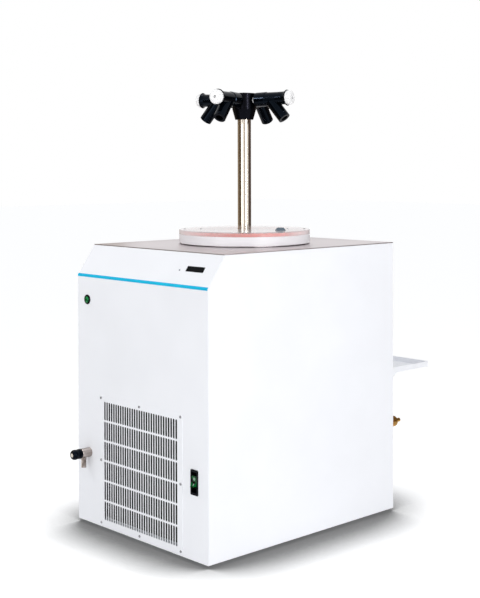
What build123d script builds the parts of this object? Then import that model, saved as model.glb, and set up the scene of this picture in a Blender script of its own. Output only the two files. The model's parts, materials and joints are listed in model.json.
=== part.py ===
from build123d import *
from math import atan2, cos, radians, sin, sqrt
import os

# Manifold freeze dryer: floor-standing cabinet with a condenser chamber under a clear lid.
#
# Frame: +Z up, floor at z = 0, front of the cabinet towards -Y. All sizes are in millimetres.
# The pieces are built about the middle of the cabinet, then shifted along Y so that the origin
# is the middle of the floor rectangle that the whole unit covers, drain valve and shelf included.

# ---- cabinet ----
FOOT_H = 8.0
FOOT_R = 18.0
CAB_W = 500.0
CAB_D = 650.0
SHELL_H = 700.0
SHEET = 1.5
TOP_SHEET = 2.0
FOLD_UP = 625.0          # height of the front panel's bend above the shell's lower edge
SLOPE_BACK = 52.0        # how far the sloped panel leans back
GAP = 0.3                # clearance between neighbouring pieces
FLANGE = 18.0            # width of the folded-in flanges
REAR_FLANGE = 9.0
REAR_SCREW_X = CAB_W / 2 - 6
SCREW_R, SCREW_HOLE_R = 1.5, 1.75
TRAY_LIP = 25.0
TRAY_INSET = 4.0         # from the cabinet's outer face to the tray's lips

# ---- front panel fittings: x from the cabinet's middle, z from the shell's lower edge ----
GRILLE_MID = 2.0         # the grille sits slightly right of the middle
GRILLE_X = 159.5         # half width
GRILLE_Z = (5.0, 329.0)
GRILLE_T = 1.0
GRILLE_HOLE = 144.0      # half width of the panel's opening behind the grille
SLOT_COLS, SLOT_ROWS = 31, 6
SLOT_PITCH_X, SLOT_PITCH_Z = 9.2, 49.85
SLOT_W, SLOT_L = 6.4, 46.3
GRILLE_SCREW_X = 153.5
GRILLE_SCREW_Z = (10.5, 167.0, 322.5)
STRIPE_HALF = 4.0
STRIPE_T = 0.4
DISPLAY_U, DISPLAY_V = 177.5, 46.5      # along the fold, and up the slope from it
DISPLAY_W, DISPLAY_L = 61.0, 14.4
LED_U, LED_V, LED_R = 125.0, 41.0, 1.9
BUTTON_X, BUTTON_Z = -209.0, 564.0
BUTTON_R, BUTTON_BARREL_R, BUTTON_CAP_R = 12.2, 9.0, 8.0
SWITCH_X, SWITCH_Z = 203.5, 180.0
SWITCH_W, SWITCH_L = 25.7, 58.5
ROCKER_W, ROCKER_L = 17.6, 26.5
ROCKER_REST = 12.0       # degrees from mid position, lower end out
PIVOT_IN, PIVOT_PIN_R = 6.0, 1.5
DRAIN_X, DRAIN_Z = -203.0, 177.5
DRAIN_R, DRAIN_L = 12.0, 26.5
DRAIN_TIP = 54.0         # from the front panel to the tip of the knob
SPOUT_R, SPOUT_OUT, SPOUT_DROP = 6.35, 18.0, 36.0
SPOUT_NECK_R, SPOUT_NECK = 7.2, 16.0
DRAIN_SHANK_R, DRAIN_SHANK, PLUG_SEAT, PLUG_DEEP = 9.0, 34.0, 12.0, 12.7
SPOUT_BORE_R, INLET_BORE_R, SPINDLE_R = 3.8, 3.0, 3.2
SPINDLE_HEAD_R, SPINDLE_HEAD = 4.8, 1.8

# ---- lid and chamber ----
AXIS_Y = 25.0            # chamber and manifold axis, behind the middle of the cabinet
CHAMBER_R, CHAMBER_WALL, CHAMBER_DEPTH = 145.0, 1.5, 315.0
RIM_R, RIM_T = 160.0, 2.0
GASKET_T = 1.0
LID_R = 170.0
COLLAR_IN_R, COLLAR_H = 152.0, 22.5
PLATE_H = 11.5
SEAL_R = (160.0, 167.0)
SEAL_H = 9.0
COIL_TUBE_R, COIL_RINGS, COIL_PITCH = 4.0, 9, 28.0
COIL_PORT_X, COIL_TAIL_Y = 14.0, 216.0
COIL_IN_Z = 428.0
STUB_R, STUB_L = 8.0, 24.0
VACUUM_R, VACUUM_ANGLE, VACUUM_Z = 9.0, 35.0, 610.0
FOAM_T = 38.0
PLUG_AT, PLUG_ANGLE, PLUG_HOLE_R = 117.0, 8.0, 7.0

# ---- manifold ----
TUBE_R, TUBE_WALL, NUT_H = 17.5, 1.6, 13.0
HUB_Z = (1021.0, 1048.0, 1088.0, 1092.0)   # cone foot, cone top, shoulder, crown, above the shell's foot
HUB_FOOT_R, HUB_R = 23.5, 31.0
ARM_Z = 1070.0
ARM_COUNT = 4
ARM_FIRST = 15.5         # degrees from +X
ARM_TILT = 2.0           # degrees upward
FIT = 0.08               # radial clearance of pushed-on rubber and moulded sockets
NOZZLE_R, NOZZLE_BORE_R = 9.0, 6.0
NOZZLE_FROM, NOZZLE_TO = 18.0, 60.0
SLEEVE_AT, CAVITY_AT, NECK_AT = 37.5, 63.0, 112.0
SLEEVE_R = 18.7
VALVE_BORE_R = 12.8
BRANCH_R, BRANCH_BORE_R = 15.9, 9.5
BRANCH_AT, BRANCH_ANGLE, BRANCH_L = 77.5, 52.0, 66.0
PORT_STEP, PORT_THROAT_R = 25.0, 8.5    # shoulder that stops a flask's tube
MOUTH_AT, MOUTH_R = 128.0, 20.5
KNOB_NECK_R, KNOB_R = 14.8, 18.4

# ---- back ----
SHELF_X, SHELF_D = 225.0, 180.0
SHELF_Z = (348.5, 363.0)
GUSSET_D, GUSSET_H = 46.0, 32.0
SHELF_SCREW_X = (-150.0, 0.0, 150.0)
SHELF_SCREW_DROP = 18.0
PORT_X, PORT_Z = 232.0, 223.0
PORT_COLLAR_R, PORT_COLLAR_L, PORT_HEX_L = 13.5, 25.0, 8.0
PORT_SPIGOT_R, PORT_END = 5.3, 47.0
PORT_SHANK_R, PORT_SHANK_L, PORT_BORE_R = 7.0, 20.0, 3.2
INLET_X, INLET_Z = -170.0, 70.0
INLET_SCREW_X, INLET_FLANGE = 20.0, 3.0

# ---- machinery ----
FIN_COUNT, FIN_PITCH, TUBE_ROWS = 36, 7.8, 8
FIN_Y = (-312.0, -264.0)
FIN_Z = (12.0, 318.0)
COIL_PIPE_Y = -288.0
COMP_X, COMP_Y, COMP_R, COMP_H = -90.0, 175.0, 82.0, 200.0
COMP_FOOT_X, COMP_FOOT_Y, GROMMET_H = 78.0, 62.0, 12.0
SUCTION_X, DISCHARGE_Z = -60.0, 150.0
FAN_BACK, FAN_R, FAN_Z, FAN_BLADES = -224.0, 110.0, 165.0, 5
DRIER_X, DRIER_Y, DRIER_Z = 168.0, 150.0, 60.0
LINE_R, LINE_BEND = 4.0, 9.0

# ---- derived ----
SHELL_Z = FOOT_H
TOP_Z = SHELL_Z + SHELL_H
UNDER_TOP = TOP_Z - TOP_SHEET
HALF_W, HALF_D = CAB_W / 2, CAB_D / 2
FRONT, BACK = -HALF_D, HALF_D
FOLD_Z = SHELL_Z + FOLD_UP
SLOPE_ANGLE = atan2(SLOPE_BACK, UNDER_TOP - FOLD_Z)
SLOPE_TOP_Y = FRONT + SLOPE_BACK
Y_SHIFT = -(SHELF_D - DRAIN_TIP) / 2
SLOPE = Plane(origin=(0, FRONT, FOLD_Z), x_dir=(1, 0, 0), z_dir=(0, -cos(SLOPE_ANGLE), sin(SLOPE_ANGLE)))
RIM_Z = TOP_Z + GASKET_T
COLLAR_Z = RIM_Z + RIM_T
PLATE_Z = COLLAR_Z + COLLAR_H
CHAMBER_FLOOR = COLLAR_Z - CHAMBER_DEPTH
TRAY_X, TRAY_Y = HALF_W - TRAY_INSET, HALF_D - TRAY_INSET
COIL_OUT_Z = COIL_IN_Z + (COIL_RINGS - 1) * COIL_PITCH
COIL_R = CHAMBER_R + CHAMBER_WALL + COIL_TUBE_R + 0.1
HEADER_R = COIL_TUBE_R + 0.8
HEADER_AT = COIL_R + 1.0        # the header's middle, from the chamber's axis
SHELF_SCREW_Z = SHELL_Z + SHELF_Z[0] - SHELF_SCREW_DROP


def block(x0, x1, y0, y1, z0, z1):
    """Box between two corners."""
    size = (x1 - x0, y1 - y0, z1 - z0)
    return Pos((x0 + x1) / 2, (y0 + y1) / 2, (z0 + z1) / 2) * Box(*size)


def rod(radius, start, axis, length):
    """Solid cylinder from a start point along an axis."""
    face = Plane(origin=start, z_dir=axis) * Circle(radius)
    return extrude(face, amount=length)


def hexagon(across, start, axis, length):
    """Solid hexagonal bar, given its width across the flats."""
    face = Plane(origin=start, z_dir=axis) * RegularPolygon(across / 2, 6, major_radius=False)
    return extrude(face, amount=length)


def turned(points, axis_origin=(0, 0, 0)):
    """Solid of revolution about a vertical axis, from (radius, height) points."""
    face = make_face(Polyline([(r, 0, z) for r, z in points], close=True))
    return Pos(*axis_origin) * revolve(face, axis=Axis.Z)


def side_profile(points, x0, x1):
    """Solid between two X planes, from an outline of (y, z) points."""
    face = make_face(Polyline([(x0, y, z) for y, z in points], close=True))
    return extrude(face, amount=x1 - x0, dir=(1, 0, 0))


def pipe(points, bend, outer, inner):
    """Bent pipe along straight runs joined by arcs."""
    path = FilletPolyline(*points, radius=bend)
    start = Plane(origin=path @ 0, z_dir=path % 0)
    wall = start * (Circle(outer) - Circle(inner))
    return sweep(wall, path=path)


def group(pieces):
    """Separate solids kept together in one node."""
    return Compound(list(pieces))


# ---- cabinet ----
def front_points(depth):
    """Points of the front panel's face, offset inwards by a depth."""
    bend = depth * (1 - cos(SLOPE_ANGLE)) / sin(SLOPE_ANGLE)
    top = depth / cos(SLOPE_ANGLE)
    return [(FRONT + depth, FOLD_Z - bend), (SLOPE_TOP_Y + top, UNDER_TOP)]


def front_panel():
    outer, inner = front_points(0), front_points(SHEET)
    face = [(FRONT, SHELL_Z)] + outer + inner[::-1] + [(FRONT + SHEET, SHELL_Z)]
    panel = side_profile(face, -HALF_W, HALF_W)
    wing = [(FRONT + SHEET, SHELL_Z + 2), inner[0], inner[1], (SLOPE_TOP_Y + FLANGE, UNDER_TOP),
            (FRONT + FLANGE, FOLD_Z - FLANGE / 2), (FRONT + FLANGE, SHELL_Z + 2)]
    for side in (-1, 1):
        x = side * (HALF_W - SHEET - GAP)
        panel += side_profile(wing, min(x, x - side * SHEET), max(x, x - side * SHEET))
    z0 = SHELL_Z + GRILLE_SCREW_Z[0] + 6
    z1 = SHELL_Z + GRILLE_SCREW_Z[-1] - 6
    panel -= block(GRILLE_MID - GRILLE_HOLE, GRILLE_MID + GRILLE_HOLE, FRONT - 1, FRONT + 5, z0, z1)
    for x, z in grille_screw_places():
        panel -= rod(SCREW_HOLE_R, (x, FRONT - 1, z), (0, 1, 0), 5)
    panel -= rod(BUTTON_BARREL_R + GAP, (BUTTON_X, FRONT - 1, SHELL_Z + BUTTON_Z), (0, 1, 0), 5)
    panel -= rod(9.3, (DRAIN_X, FRONT - 1, SHELL_Z + DRAIN_Z), (0, 1, 0), 5)
    half_w, half_l = SWITCH_W / 2 - 1.5, SWITCH_L / 2 - 2.5
    z = SHELL_Z + SWITCH_Z
    panel -= block(SWITCH_X - half_w, SWITCH_X + half_w, FRONT - 1, FRONT + 5, z - half_l, z + half_l)
    window = SLOPE * Pos(DISPLAY_U, DISPLAY_V) * Rectangle(DISPLAY_W - 2, DISPLAY_L - 2)
    lamp = SLOPE * Pos(LED_U, LED_V) * Circle(LED_R + 0.1)
    panel -= extrude(window, amount=5, both=True)
    panel -= extrude(lamp, amount=5, both=True)
    return panel


def side_panel(side):
    behind = front_points(SHEET + GAP)
    outline = [(FRONT + SHEET + GAP, SHELL_Z)] + behind + [(BACK, UNDER_TOP), (BACK, SHELL_Z)]
    x = side * HALF_W
    panel = side_profile(outline, min(x, x - side * SHEET), max(x, x - side * SHEET))
    inner = side * (HALF_W - SHEET)
    top_x = sorted((inner, inner - side * FLANGE))
    panel += block(*top_x, SLOPE_TOP_Y + FLANGE + GAP, BACK - 4, UNDER_TOP - SHEET, UNDER_TOP)
    back_x = sorted((inner, inner - side * REAR_FLANGE))
    panel += block(*back_x, BACK - 2 * SHEET, BACK - SHEET, SHELL_Z, UNDER_TOP)
    for z in screw_heights():
        panel -= rod(SCREW_HOLE_R, (side * REAR_SCREW_X, BACK - 6, z), (0, 1, 0), 8)
    return panel


def base_tray():
    tray = block(-TRAY_X, TRAY_X, -TRAY_Y, TRAY_Y, SHELL_Z, SHELL_Z + TRAY_LIP)
    tray -= block(-TRAY_X + SHEET, TRAY_X - SHEET, -TRAY_Y + SHEET, TRAY_Y - SHEET,
                  SHELL_Z + SHEET, SHELL_Z + TRAY_LIP + 1)
    return tray


def feet():
    profile = [(0, 0), (FOOT_R - 3, 0), (FOOT_R, 2), (FOOT_R, FOOT_H), (0, FOOT_H)]
    return group(turned(profile, (x, y, 0)) for x in (-200, 200) for y in (-270, 270))


def screw_heights():
    return [SHELL_Z + 30 + i * (SHELL_H - 60) / 4 for i in range(5)]


def rear_panel():
    x = HALF_W - SHEET - GAP
    panel = block(-x, x, BACK - SHEET, BACK, SHELL_Z, UNDER_TOP - GAP)
    for row in range(9):
        for col in (-1, 0, 1):
            for bottom in (SHELL_Z + 120, SHELL_Z + 480):
                slot = Pos(col * 62, BACK, bottom + row * 15) * Box(50, 6, 5)
                panel -= slot
    panel -= rod(PORT_SHANK_R + 0.2, (PORT_X, BACK - 6, SHELL_Z + PORT_Z), (0, 1, 0), 8)
    panel -= Pos(INLET_X, BACK, SHELL_Z + INLET_Z) * Box(28, 8, 21)
    screws = [(side * REAR_SCREW_X, z) for side in (-1, 1) for z in screw_heights()]
    screws += [(x, SHELF_SCREW_Z) for x in SHELF_SCREW_X]
    screws += [(INLET_X + x, SHELL_Z + INLET_Z) for x in (-INLET_SCREW_X, INLET_SCREW_X)]
    for x, z in screws:
        panel -= rod(SCREW_HOLE_R, (x, BACK - 6, z), (0, 1, 0), 8)
    return panel


def rear_screws():
    """Identical pan-head screws of the rear panel, the shelf's flange and the mains inlet."""
    places = [(side * REAR_SCREW_X, BACK, z) for side in (-1, 1) for z in screw_heights()]
    places += [(x, BACK + SHEET, SHELF_SCREW_Z) for x in SHELF_SCREW_X]
    places += [(INLET_X + x, BACK + INLET_FLANGE, SHELL_Z + INLET_Z) for x in (-INLET_SCREW_X, INLET_SCREW_X)]
    return group(pan_screw(place, (0, 1, 0), 3.2, 1.8, SCREW_R, 8) for place in places)


def pan_screw(at, outward, head_r, head_h, shank_r, shank_l):
    """Pan-head screw with a cross recess: its head stands on the point, its shank goes in."""
    edge = head_h * 0.45
    profile = [(0, -shank_l), (shank_r, -shank_l), (shank_r, 0), (head_r, 0), (head_r, head_h - edge),
               (head_r - edge, head_h), (0, head_h)]
    screw = turned(profile)
    long, wide, deep = head_r * 1.2, head_r * 0.25, head_h
    screw -= Pos(0, 0, head_h) * (Box(long, wide, deep) + Box(wide, long, deep))
    return Plane(origin=at, z_dir=outward).location * screw


def top_plate():
    plate = block(-HALF_W, HALF_W, SLOPE_TOP_Y, BACK, UNDER_TOP, TOP_Z)
    return plate - rod(CHAMBER_R + CHAMBER_WALL + GAP, (0, AXIS_Y, UNDER_TOP - 1), (0, 0, 1), 5)


def trim_stripe():
    """Thin coloured strip folded over the bend of the front panel."""
    drop = STRIPE_HALF
    along_y, along_z = drop * sin(SLOPE_ANGLE), drop * cos(SLOPE_ANGLE)
    bend = STRIPE_T * (1 - cos(SLOPE_ANGLE)) / sin(SLOPE_ANGLE)
    out_y, out_z = STRIPE_T * cos(SLOPE_ANGLE), STRIPE_T * sin(SLOPE_ANGLE)
    outline = [(FRONT, FOLD_Z - drop), (FRONT, FOLD_Z), (FRONT + along_y, FOLD_Z + along_z),
               (FRONT + along_y - out_y, FOLD_Z + along_z + out_z), (FRONT - STRIPE_T, FOLD_Z + bend),
               (FRONT - STRIPE_T, FOLD_Z - drop)]
    return side_profile(outline, -HALF_W, HALF_W)


# ---- front panel fittings ----
def grille_screw_places():
    """Three along the top and bottom edges, two half way up."""
    places = []
    for z in GRILLE_SCREW_Z:
        for x in (-GRILLE_SCREW_X, 0.0, GRILLE_SCREW_X):
            if x or z != GRILLE_SCREW_Z[1]:
                places.append((GRILLE_MID + x, SHELL_Z + z))
    return places


def grille():
    middle = SHELL_Z + sum(GRILLE_Z) / 2
    height = GRILLE_Z[1] - GRILLE_Z[0]
    face = RectangleRounded(2 * GRILLE_X, height, 7)
    slot = Rot(0, 0, 90) * SlotOverall(SLOT_L, SLOT_W)
    slots = [place * slot for place in GridLocations(SLOT_PITCH_X, SLOT_PITCH_Z, SLOT_COLS, SLOT_ROWS)]
    holes = [Pos(x - GRILLE_MID, z - middle) * Circle(SCREW_HOLE_R) for x, z in grille_screw_places()]
    plane = Plane(origin=(GRILLE_MID, FRONT, middle), x_dir=(1, 0, 0), z_dir=(0, -1, 0))
    return extrude(plane * (face - slots - holes), amount=GRILLE_T)


def grille_screws():
    face = FRONT - GRILLE_T
    return group(pan_screw((x, face, z), (0, -1, 0), 3.2, 1.8, SCREW_R, 4) for x, z in grille_screw_places())


def display_window():
    """Dark window with a thin rim on the sloped panel and a body through the cut-out."""
    at = SLOPE * Pos(DISPLAY_U, DISPLAY_V)
    rim = extrude(at * RectangleRounded(DISPLAY_W, DISPLAY_L, 0.8), amount=0.5)
    return rim + extrude(at * Rectangle(DISPLAY_W - 2.4, DISPLAY_L - 2.4), amount=-3)


def status_led():
    at = SLOPE * Pos(LED_U, LED_V)
    dome = at * (Pos(0, 0, 0.2) * Sphere(LED_R))
    return dome + extrude(at * Circle(LED_R), amount=-5.5)


def controller_box():
    """Closed housing of the control electronics, hung behind the sloped panel."""
    at = SLOPE * Pos((DISPLAY_U + LED_U) / 2, DISPLAY_V - 4)
    box = at * (Pos(0, 0, -28) * Box(150, 58, 44))
    box = fillet(box.edges().filter_by(Axis.X), 3)
    return box - extrude(at * Pos(0, 0, -50) * Rectangle(60, 8), amount=4)


def push_button_bezel():
    profile = [(BUTTON_CAP_R + GAP, -16), (BUTTON_BARREL_R, -16), (BUTTON_BARREL_R, 0), (BUTTON_R, 0),
               (BUTTON_R, 1.4), (BUTTON_R - 1.2, 2.4), (BUTTON_CAP_R + GAP, 2.4)]
    return front_location(BUTTON_X, BUTTON_Z) * turned(profile)


def push_button_cap():
    """Translucent lens cap that is pressed in against a spring."""
    profile = [(0, -10), (BUTTON_CAP_R, -10), (BUTTON_CAP_R, 3.4), (BUTTON_CAP_R - 1.0, 4.6),
               (BUTTON_CAP_R - 3.5, 5.4), (0, 5.7)]
    return front_location(BUTTON_X, BUTTON_Z) * turned(profile)


def front_location(x, z):
    """Place on the front panel whose local Z points out of the panel."""
    return Plane(origin=(x, FRONT, SHELL_Z + z), x_dir=(1, 0, 0), z_dir=(0, -1, 0)).location


def switch_frame():
    at = front_location(SWITCH_X, SWITCH_Z)
    rim = extrude(RectangleRounded(SWITCH_W, SWITCH_L, 2.6), amount=2)
    rim = fillet(rim.edges().group_by(Axis.Z)[-1], 0.8)
    body = Pos(0, 0, -15) * Box(SWITCH_W - 3.6, SWITCH_L - 5.6, 30)
    pocket = Pos(0, 0, -8.5) * Box(ROCKER_W + 2 * GAP, SWITCH_L - 11, 23)
    pins = Pos(0, 0, -PIVOT_IN) * Rot(0, 90, 0) * Cylinder(PIVOT_PIN_R + 0.2, ROCKER_W + 3.6)
    return at * (rim + body - pocket - pins)


def power_rocker():
    """Translucent rocker with a shallow V face, turned about its own side pins."""
    half = ROCKER_L / 2
    outline = [(-half, 10), (0, 7), (half, 10), (half - 2.2, -2), (5, -6), (-5, -6), (-half + 2.2, -2)]
    body = make_face(Polyline([(0, v, w) for v, w in outline], close=True))
    rocker = extrude(body, amount=ROCKER_W / 2, dir=(1, 0, 0), both=True)
    rocker += Rot(0, 90, 0) * Cylinder(PIVOT_PIN_R, ROCKER_W + 3)
    return front_location(SWITCH_X, SWITCH_Z) * Pos(0, 0, -PIVOT_IN) * Rot(-ROCKER_REST, 0, 0) * rocker


def drain_body():
    """Turned steel valve body with a threaded shank through the panel and a spout below."""
    at = front_location(DRAIN_X, DRAIN_Z)
    profile = [(0, -DRAIN_SHANK), (DRAIN_SHANK_R, -DRAIN_SHANK), (DRAIN_SHANK_R, 0), (DRAIN_R, 0),
               (DRAIN_R, DRAIN_L - 0.8), (DRAIN_R - 0.8, DRAIN_L),
               (SPINDLE_R + 0.1, DRAIN_L), (SPINDLE_R + 0.1, DRAIN_L - 13), (0, DRAIN_L - 13)]
    body = at * turned(profile)
    top = (DRAIN_X, FRONT - SPOUT_OUT, SHELL_Z + DRAIN_Z)
    spout = rod(SPOUT_R, top, (0, 0, -1), SPOUT_DROP) + rod(SPOUT_NECK_R, top, (0, 0, -1), SPOUT_NECK)
    spout -= at * Cylinder(SPINDLE_R + 0.1, 2 * DRAIN_L)
    bore = Pos(*top) * Pos(0, 0, -SPOUT_DROP) * Cylinder(SPOUT_BORE_R, 2 * SPOUT_DROP)
    reach = DRAIN_SHANK + DRAIN_L - PLUG_SEAT
    inlet = rod(INLET_BORE_R, at.position + Vector(0, DRAIN_SHANK, 0), (0, -1, 0), reach)
    return body + spout - bore - inlet


def drain_nut():
    at = (DRAIN_X, FRONT + SHEET, SHELL_Z + DRAIN_Z)
    return hexagon(27, at, (0, 1, 0), 6) - rod(9, at, (0, 1, 0), 6)


def drain_spindle():
    """Stem with a flat head in the knob's end; its foot is the valve's plug with a cross hole."""
    at = front_location(DRAIN_X, DRAIN_Z)
    foot, head = DRAIN_L - PLUG_DEEP, DRAIN_TIP - SPINDLE_HEAD
    stem = rod(SPINDLE_R, (0, 0, foot), (0, 0, 1), head - foot)
    stem += rod(SPINDLE_HEAD_R, (0, 0, head), (0, 0, 1), SPINDLE_HEAD)
    return at * (stem - Pos(0, 0, SPOUT_OUT) * Rot(90, 0, 0) * Cylinder(1.8, 20))


def drain_knob():
    """Waisted rubber grip with a rounded end; the stem's head shows in its middle."""
    foot, tip = DRAIN_L + 0.5, DRAIN_TIP
    seat = tip - SPINDLE_HEAD
    with BuildPart() as grip:
        with BuildSketch(Plane.XZ):
            with BuildLine():
                Polyline((SPINDLE_HEAD_R, tip), (SPINDLE_HEAD_R, seat), (SPINDLE_R, seat), (SPINDLE_R, foot),
                         (11.4, foot))
                Spline((11.4, foot), (12.3, foot + 2.5), (11.9, foot + 12), (12.5, foot + 20),
                       (10.6, tip - 2.2), (6.2, tip))
                Line((6.2, tip), (SPINDLE_HEAD_R, tip))
            make_face()
        revolve(axis=Axis.Z)
    return front_location(DRAIN_X, DRAIN_Z) * grip.part


# ---- condenser chamber and lid ----
def about_axis(points):
    """Solid of revolution about the chamber's axis."""
    return turned(points, (0, AXIS_Y, 0))


def polar(radius, angle, z):
    """Point around the chamber's axis."""
    return (radius * cos(radians(angle)), AXIS_Y + radius * sin(radians(angle)), z)


def chamber():
    """Deep-drawn steel vessel with a flat rim, a drain stub and a vacuum port."""
    out = CHAMBER_R + CHAMBER_WALL
    floor = CHAMBER_FLOOR + CHAMBER_WALL
    profile = [(0, CHAMBER_FLOOR), (out, CHAMBER_FLOOR), (out, RIM_Z), (RIM_R, RIM_Z), (RIM_R, COLLAR_Z),
               (CHAMBER_R, COLLAR_Z), (CHAMBER_R, floor), (0, floor)]
    vessel = about_axis(profile)
    vessel += rod(STUB_R, (0, AXIS_Y, CHAMBER_FLOOR), (0, 0, -1), STUB_L)
    vessel -= rod(STUB_R - 2, (0, AXIS_Y, CHAMBER_FLOOR - STUB_L), (0, 0, 1), STUB_L + 3)
    vessel -= rod(VACUUM_R, polar(120, VACUUM_ANGLE, VACUUM_Z), polar_direction(VACUUM_ANGLE), 40)
    return vessel


def polar_direction(angle):
    return (cos(radians(angle)), sin(radians(angle)), 0)


def rim_gasket():
    out = CHAMBER_R + CHAMBER_WALL
    return about_axis([(out, TOP_Z), (RIM_R, TOP_Z), (RIM_R, RIM_Z), (out, RIM_Z)])


def insulation():
    """Moulded foam jacket around the chamber, with a recess for the coil and channels for the pipes."""
    inner, outer = CHAMBER_R + CHAMBER_WALL, CHAMBER_R + FOAM_T
    recess = HEADER_AT + HEADER_R + 0.2
    low, high = COIL_IN_Z - HEADER_R - 1, COIL_OUT_Z + HEADER_R + 1
    foot = CHAMBER_FLOOR - STUB_L + 4
    foam = about_axis([(0, foot), (outer, foot), (outer, UNDER_TOP - 2), (inner, UNDER_TOP - 2), (inner, high),
                       (recess, high), (recess, low), (inner, low), (inner, CHAMBER_FLOOR), (0, CHAMBER_FLOOR)])
    foam -= rod(STUB_R, (0, AXIS_Y, foot - 1), (0, 0, 1), STUB_L + 2)
    for z in (COIL_IN_Z, COIL_OUT_Z):
        foam -= rod(COIL_TUBE_R, (COIL_PORT_X, AXIS_Y + 100, z), (0, 1, 0), 120)
    foam -= rod(VACUUM_R, polar(120, VACUUM_ANGLE, VACUUM_Z), polar_direction(VACUUM_ANGLE), 100)
    return foam


def evaporator_coil():
    """Refrigerant rings around the chamber's wall, two upright headers and a tail for each pipe."""
    coil = None
    y = AXIS_Y + sqrt(HEADER_AT ** 2 - COIL_PORT_X ** 2)
    for i in range(COIL_RINGS):
        ring = Pos(0, AXIS_Y, COIL_IN_Z + i * COIL_PITCH) * Torus(COIL_R, COIL_TUBE_R)
        coil = ring if coil is None else coil + ring
    height = COIL_OUT_Z - COIL_IN_Z
    for x in (-COIL_PORT_X, COIL_PORT_X):
        coil += rod(HEADER_R, (x, y, COIL_IN_Z - HEADER_R), (0, 0, 1), height + 2 * HEADER_R)
    for z in (COIL_IN_Z, COIL_OUT_Z):
        coil += rod(COIL_TUBE_R, (COIL_PORT_X, y, z), (0, 1, 0), COIL_TAIL_Y - y)
    return coil


def lid_collar():
    """Milky plastic ring that stands on the chamber's rim."""
    z0, z1, r = COLLAR_Z, PLATE_Z, LID_R
    return about_axis([(COLLAR_IN_R, z0), (r - 0.8, z0), (r, z0 + 0.8), (r, z1), (COLLAR_IN_R, z1)])


def lid_plate():
    """Clear acrylic disc with a groove for the seal and holes for tube, plug and screws."""
    z0, z1 = PLATE_Z, PLATE_Z + PLATE_H
    r, hole = LID_R, TUBE_R + 0.2
    plate = about_axis([(hole, z0), (SEAL_R[0], z0), (SEAL_R[0], z0 + SEAL_H), (SEAL_R[1], z0 + SEAL_H),
                        (SEAL_R[1], z0), (r, z0), (r, z1 - 0.8), (r - 0.8, z1), (hole, z1)])
    plate -= Pos(*polar(PLUG_AT, PLUG_ANGLE, z0)) * Cylinder(PLUG_HOLE_R, 40)
    for place in lid_screw_places():
        plate -= rod(SCREW_HOLE_R, (place[0], place[1], z0 - 1), (0, 0, 1), PLATE_H + 2)
    return plate


def lid_screw_places():
    """Four into the collar, and two nearer the middle."""
    outer = [polar(155.5, 47 + 90 * i, PLATE_Z + PLATE_H) for i in range(4)]
    inner = [polar(113, 47 + 180 * i, PLATE_Z + PLATE_H) for i in range(2)]
    return outer + inner


def lid_screws():
    return group(pan_screw(place, (0, 0, 1), 2.8, 1.4, SCREW_R, PLATE_H) for place in lid_screw_places())


def lid_seal():
    """Red silicone ring in the plate's groove."""
    low, high = SEAL_R[0] + 0.25, SEAL_R[1] - 0.25
    top = PLATE_Z + SEAL_H - 0.3
    return about_axis([(low, PLATE_Z), (high, PLATE_Z), (high, top - 1), (high - 1, top), (low + 1, top),
                       (low, top - 1)])


def vent_plug():
    """Rubber bung that lets air back into the chamber when it is pulled."""
    z = PLATE_Z + PLATE_H
    profile = [(0, z - PLATE_H), (PLUG_HOLE_R - 0.6, z - PLATE_H), (PLUG_HOLE_R, z), (13.8, z), (13.2, z + 1.2),
               (8.6, z + 6.5), (7.8, z + 7), (0, z + 7)]
    at = polar(PLUG_AT, PLUG_ANGLE, 0)
    return turned(profile, at)


# ---- manifold ----
def manifold_tube():
    z0, z1 = PLATE_Z - 26, SHELL_Z + HUB_Z[1] + 12
    inner = TUBE_R - TUBE_WALL
    return about_axis([(inner, z0), (TUBE_R, z0), (TUBE_R, z1), (inner, z1)])


def tube_nut():
    """Threaded ring that clamps the tube under the lid plate."""
    at = (0, AXIS_Y, PLATE_Z - NUT_H)
    return hexagon(58, at, (0, 0, 1), NUT_H) - rod(TUBE_R, at, (0, 0, 1), NUT_H)


def manifold_hub():
    """Moulded hub: a cone on the tube, and a drum with a tilted socket for each arm."""
    foot, cone, shoulder, crown = (SHELL_Z + z for z in HUB_Z)
    bore, well = TUBE_R, TUBE_R - 3
    hub = about_axis([(bore, foot), (HUB_FOOT_R, foot), (HUB_R, cone), (HUB_R, shoulder),
                      (HUB_R - 1, shoulder + 1.5), (0, crown), (0, shoulder - 5), (well, shoulder - 5),
                      (well, cone + 12), (bore, cone + 12)])
    for i in range(ARM_COUNT):
        hub -= arm_location(i) * rod(NOZZLE_R + FIT, (NOZZLE_FROM, 0, 0), (1, 0, 0), HUB_R)
    return hub


def arm_location(i):
    """Place whose local X runs out along an arm, from the hub's middle."""
    turn = ARM_FIRST + i * 360 / ARM_COUNT
    return Pos(0, AXIS_Y, SHELL_Z + ARM_Z) * Rot(0, 0, turn) * Rot(0, -ARM_TILT, 0)


def arm_turned(i, points):
    """Solid of revolution about an arm, from (distance along it, radius) points."""
    return arm_location(i) * Rot(0, 90, 0) * turned([(r, u) for u, r in points])


def hub_nozzles():
    """Short plastic tubes that join the hub to the rubber valves."""
    points = [(NOZZLE_FROM, NOZZLE_BORE_R), (NOZZLE_FROM, NOZZLE_R), (NOZZLE_TO, NOZZLE_R),
              (NOZZLE_TO, NOZZLE_BORE_R)]
    return group(arm_turned(i, points) for i in range(ARM_COUNT))


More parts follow.
